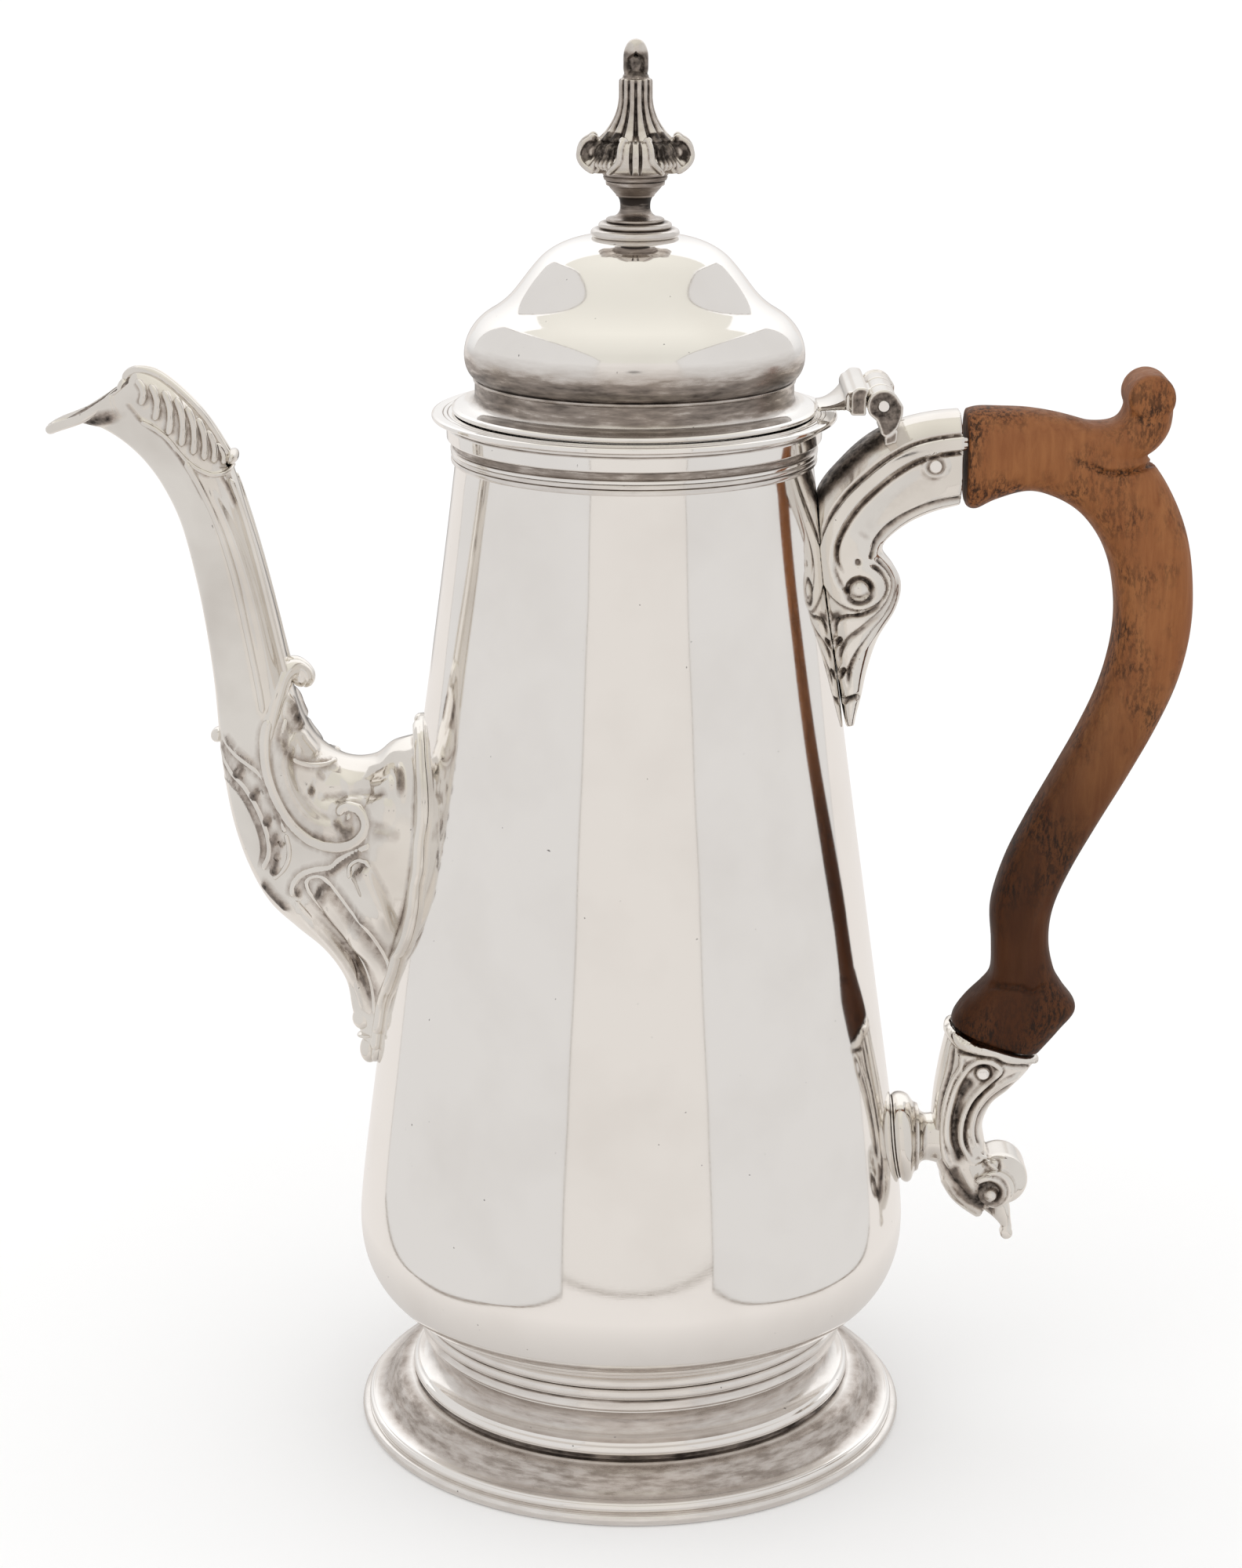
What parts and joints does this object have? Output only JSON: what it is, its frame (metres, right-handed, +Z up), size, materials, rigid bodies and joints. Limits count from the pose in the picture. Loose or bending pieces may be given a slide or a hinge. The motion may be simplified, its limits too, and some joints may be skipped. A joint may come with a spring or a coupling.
{
  "type": "coffee pot",
  "caption": "Tapered baluster coffee pot of polished silver with a panelled swan-neck spout, stepped domed hinged lid, spread foot and scrolled wooden handle.",
  "frame": {"origin": "centre of the foot on the surface that the pot stands on", "axes": "+Z up, spout towards -X, handle and lid hinge towards +X, mirror plane y = 0"},
  "size_m": [0.2035, 0.1018, 0.2552],
  "materials": {
    "silver": "hand-polished sterling silver with fine scratches and grey tarnish in the mouldings",
    "cast_silver": "cast and chased sterling silver with dark tarnish in the hollows",
    "wood": "rubbed fruitwood, worn satin with dark grain"
  },
  "bodies": {
    "pot": {"body": "silver", "body_bottom": "silver", "rim_moulding": "silver", "rim_reeding": "silver", "foot_collet": "silver", "foot": "silver", "foot_rim_wire": "silver", "spout_half_left": "cast_silver", "spout_half_right": "cast_silver", "upper_socket": "cast_silver", "socket_hinge_leaf": "cast_silver", "hinge_pin": "silver", "upper_handle_pin": "silver", "handle": "wood", "lower_handle_pin": "silver", "lower_socket": "cast_silver", "lower_socket_boss": "cast_silver"},
    "lid": {"lid_dome": "silver", "lid_rim": "silver", "lid_bezel": "silver", "lid_hinge_leaf": "cast_silver", "finial_base": "silver", "finial_cup": "silver", "finial_crown": "cast_silver"}
  },
  "joints": [
    {"name": "lid_hinge", "type": "hinge", "parent": "pot", "child": "lid", "pos_m": [0.043, 0, 0.1938], "axis": [0, 1, 0], "range_deg": [0, 105]}
  ]
}
